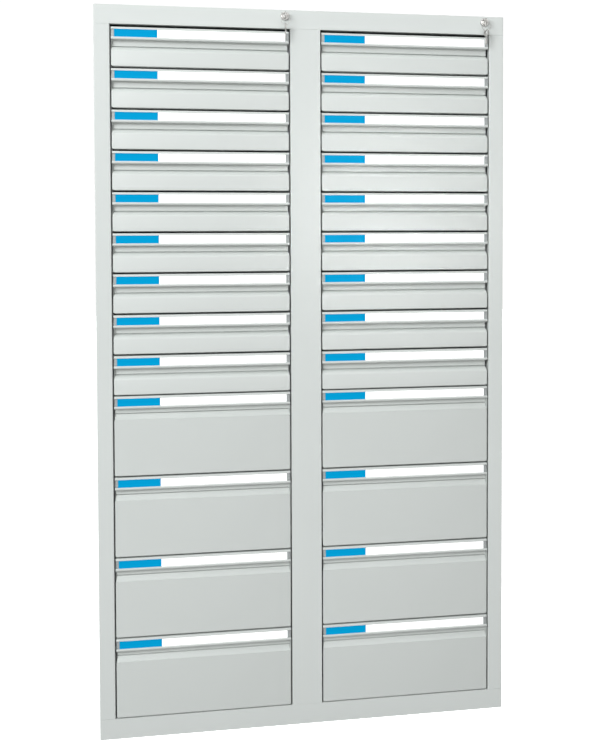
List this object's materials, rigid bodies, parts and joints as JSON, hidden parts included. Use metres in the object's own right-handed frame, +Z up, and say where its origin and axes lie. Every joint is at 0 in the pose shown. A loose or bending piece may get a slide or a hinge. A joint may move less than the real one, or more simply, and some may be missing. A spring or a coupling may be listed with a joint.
{
  "type": "industrial drawer cabinet",
  "caption": "Tall free-standing workshop cabinet with columns of flush pull-out drawers, label channels, finger grooves and key-operated column locks.",
  "frame": {"origin": "on the floor at the middle of the case footprint, on the underside of the stiffener below the centre partition", "axes": "+Z up, -Y towards the drawer fronts, +X to the right as seen from the front"},
  "size_m": [1.02, 0.6286, 1.8],
  "materials": {
    "powder_coat": "light grey satin powder coat",
    "zinc_steel": "bright zinc plating",
    "lock_nickel": "nickel plated, polished",
    "key_steel": "nickel plated key steel",
    "label_blue": "blue label card",
    "label_white": "white label card"
  },
  "bodies": {
    "case": {"back_panel": "powder_coat", "base_panel": "powder_coat", "base_stiffener": "zinc_steel", "centre_partition": "powder_coat", "left_column_left_rail_rack": "zinc_steel", "left_column_right_rail_rack": "zinc_steel", "left_lock_housing": "lock_nickel", "left_lock_nut": "zinc_steel", "left_lower_bar_guide": "zinc_steel", "left_side_panel": "powder_coat", "left_upper_bar_guide": "zinc_steel", "right_column_left_rail_rack": "zinc_steel", "right_column_right_rail_rack": "zinc_steel", "right_lock_housing": "lock_nickel", "right_lock_nut": "zinc_steel", "right_lower_bar_guide": "zinc_steel", "right_side_panel": "powder_coat", "right_upper_bar_guide": "zinc_steel", "top_panel": "powder_coat"},
    "left_drawer_01": {"left_drawer_01": "powder_coat"},
    "left_drawer_02": {"left_drawer_02": "powder_coat"},
    "left_drawer_03": {"left_drawer_03": "powder_coat"},
    "left_drawer_04": {"left_drawer_04": "powder_coat"},
    "left_drawer_05": {"left_drawer_05": "powder_coat"},
    "left_drawer_06": {"left_drawer_06": "powder_coat"},
    "left_drawer_07": {"left_drawer_07": "powder_coat"},
    "left_drawer_08": {"left_drawer_08": "powder_coat"},
    "left_drawer_09": {"left_drawer_09": "powder_coat"},
    "left_drawer_10": {"left_drawer_10": "powder_coat"},
    "left_drawer_11": {"left_drawer_11": "powder_coat"},
    "left_drawer_12": {"left_drawer_12": "powder_coat"},
    "left_drawer_13": {"left_drawer_13": "powder_coat"},
    "left_key_set": {"left_lock_plug": "lock_nickel", "left_lock_cam": "zinc_steel", "left_key": "key_steel", "left_key_ring": "key_steel"},
    "left_spare": {"left_spare_key": "key_steel"},
    "left_bar": {"left_locking_bar": "zinc_steel"},
    "right_drawer_01": {"right_drawer_01": "powder_coat"},
    "right_drawer_02": {"right_drawer_02": "powder_coat"},
    "right_drawer_03": {"right_drawer_03": "powder_coat"},
    "right_drawer_04": {"right_drawer_04": "powder_coat"},
    "right_drawer_05": {"right_drawer_05": "powder_coat"},
    "right_drawer_06": {"right_drawer_06": "powder_coat"},
    "right_drawer_07": {"right_drawer_07": "powder_coat"},
    "right_drawer_08": {"right_drawer_08": "powder_coat"},
    "right_drawer_09": {"right_drawer_09": "powder_coat"},
    "right_drawer_10": {"right_drawer_10": "powder_coat"},
    "right_drawer_11": {"right_drawer_11": "powder_coat"},
    "right_drawer_12": {"right_drawer_12": "powder_coat"},
    "right_drawer_13": {"right_drawer_13": "powder_coat"},
    "right_key_set": {"right_lock_plug": "lock_nickel", "right_lock_cam": "zinc_steel", "right_key": "key_steel", "right_key_ring": "key_steel"},
    "right_spare": {"right_spare_key": "key_steel"},
    "right_bar": {"right_locking_bar": "zinc_steel"}
  },
  "joints": [
    {"name": "left_drawer_01_slide", "type": "slide", "parent": "case", "child": "left_drawer_01", "axis": [0, -1, 0], "range_m": [0, 0.4]},
    {"name": "left_drawer_02_slide", "type": "slide", "parent": "case", "child": "left_drawer_02", "axis": [0, -1, 0], "range_m": [0, 0.4]},
    {"name": "left_drawer_03_slide", "type": "slide", "parent": "case", "child": "left_drawer_03", "axis": [0, -1, 0], "range_m": [0, 0.4]},
    {"name": "left_drawer_04_slide", "type": "slide", "parent": "case", "child": "left_drawer_04", "axis": [0, -1, 0], "range_m": [0, 0.4]},
    {"name": "left_drawer_05_slide", "type": "slide", "parent": "case", "child": "left_drawer_05", "axis": [0, -1, 0], "range_m": [0, 0.4]},
    {"name": "left_drawer_06_slide", "type": "slide", "parent": "case", "child": "left_drawer_06", "axis": [0, -1, 0], "range_m": [0, 0.4]},
    {"name": "left_drawer_07_slide", "type": "slide", "parent": "case", "child": "left_drawer_07", "axis": [0, -1, 0], "range_m": [0, 0.4]},
    {"name": "left_drawer_08_slide", "type": "slide", "parent": "case", "child": "left_drawer_08", "axis": [0, -1, 0], "range_m": [0, 0.4]},
    {"name": "left_drawer_09_slide", "type": "slide", "parent": "case", "child": "left_drawer_09", "axis": [0, -1, 0], "range_m": [0, 0.4]},
    {"name": "left_drawer_10_slide", "type": "slide", "parent": "case", "child": "left_drawer_10", "axis": [0, -1, 0], "range_m": [0, 0.4]},
    {"name": "left_drawer_11_slide", "type": "slide", "parent": "case", "child": "left_drawer_11", "axis": [0, -1, 0], "range_m": [0, 0.4]},
    {"name": "left_drawer_12_slide", "type": "slide", "parent": "case", "child": "left_drawer_12", "axis": [0, -1, 0], "range_m": [0, 0.4]},
    {"name": "left_drawer_13_slide", "type": "slide", "parent": "case", "child": "left_drawer_13", "axis": [0, -1, 0], "range_m": [0, 0.4]},
    {"name": "left_key_turn", "type": "hinge", "parent": "case", "child": "left_key_set", "pos_m": [-0.05, -0.3, 1.785], "axis": [0, -1, 0], "range_deg": [0, 90]},
    {"name": "left_spare_hang", "type": "hinge", "parent": "left_key_set", "child": "left_spare", "pos_m": [-0.05, -0.3196, 1.772], "axis": [0, -1, 0], "range_deg": [-90, 0]},
    {"name": "left_bar_lift", "type": "slide", "parent": "case", "child": "left_bar", "axis": [0, 0, 1], "range_m": [0, 0.01]},
    {"name": "right_drawer_01_slide", "type": "slide", "parent": "case", "child": "right_drawer_01", "axis": [0, -1, 0], "range_m": [0, 0.4]},
    {"name": "right_drawer_02_slide", "type": "slide", "parent": "case", "child": "right_drawer_02", "axis": [0, -1, 0], "range_m": [0, 0.4]},
    {"name": "right_drawer_03_slide", "type": "slide", "parent": "case", "child": "right_drawer_03", "axis": [0, -1, 0], "range_m": [0, 0.4]},
    {"name": "right_drawer_04_slide", "type": "slide", "parent": "case", "child": "right_drawer_04", "axis": [0, -1, 0], "range_m": [0, 0.4]},
    {"name": "right_drawer_05_slide", "type": "slide", "parent": "case", "child": "right_drawer_05", "axis": [0, -1, 0], "range_m": [0, 0.4]},
    {"name": "right_drawer_06_slide", "type": "slide", "parent": "case", "child": "right_drawer_06", "axis": [0, -1, 0], "range_m": [0, 0.4]},
    {"name": "right_drawer_07_slide", "type": "slide", "parent": "case", "child": "right_drawer_07", "axis": [0, -1, 0], "range_m": [0, 0.4]},
    {"name": "right_drawer_08_slide", "type": "slide", "parent": "case", "child": "right_drawer_08", "axis": [0, -1, 0], "range_m": [0, 0.4]},
    {"name": "right_drawer_09_slide", "type": "slide", "parent": "case", "child": "right_drawer_09", "axis": [0, -1, 0], "range_m": [0, 0.4]},
    {"name": "right_drawer_10_slide", "type": "slide", "parent": "case", "child": "right_drawer_10", "axis": [0, -1, 0], "range_m": [0, 0.4]},
    {"name": "right_drawer_11_slide", "type": "slide", "parent": "case", "child": "right_drawer_11", "axis": [0, -1, 0], "range_m": [0, 0.4]},
    {"name": "right_drawer_12_slide", "type": "slide", "parent": "case", "child": "right_drawer_12", "axis": [0, -1, 0], "range_m": [0, 0.4]},
    {"name": "right_drawer_13_slide", "type": "slide", "parent": "case", "child": "right_drawer_13", "axis": [0, -1, 0], "range_m": [0, 0.4]},
    {"name": "right_key_turn", "type": "hinge", "parent": "case", "child": "right_key_set", "pos_m": [0.46, -0.3, 1.785], "axis": [0, -1, 0], "range_deg": [0, 90]},
    {"name": "right_spare_hang", "type": "hinge", "parent": "right_key_set", "child": "right_spare", "pos_m": [0.46, -0.3196, 1.772], "axis": [0, -1, 0], "range_deg": [-90, 0]},
    {"name": "right_bar_lift", "type": "slide", "parent": "case", "child": "right_bar", "axis": [0, 0, 1], "range_m": [0, 0.01]}
  ],
  "couplings": [
    {"joint": "left_key_turn", "follows": "left_bar_lift", "rad_per_m": 157.08},
    {"joint": "left_spare_hang", "follows": "left_bar_lift", "rad_per_m": -157.08},
    {"joint": "right_key_turn", "follows": "right_bar_lift", "rad_per_m": 157.08},
    {"joint": "right_spare_hang", "follows": "right_bar_lift", "rad_per_m": -157.08}
  ]
}
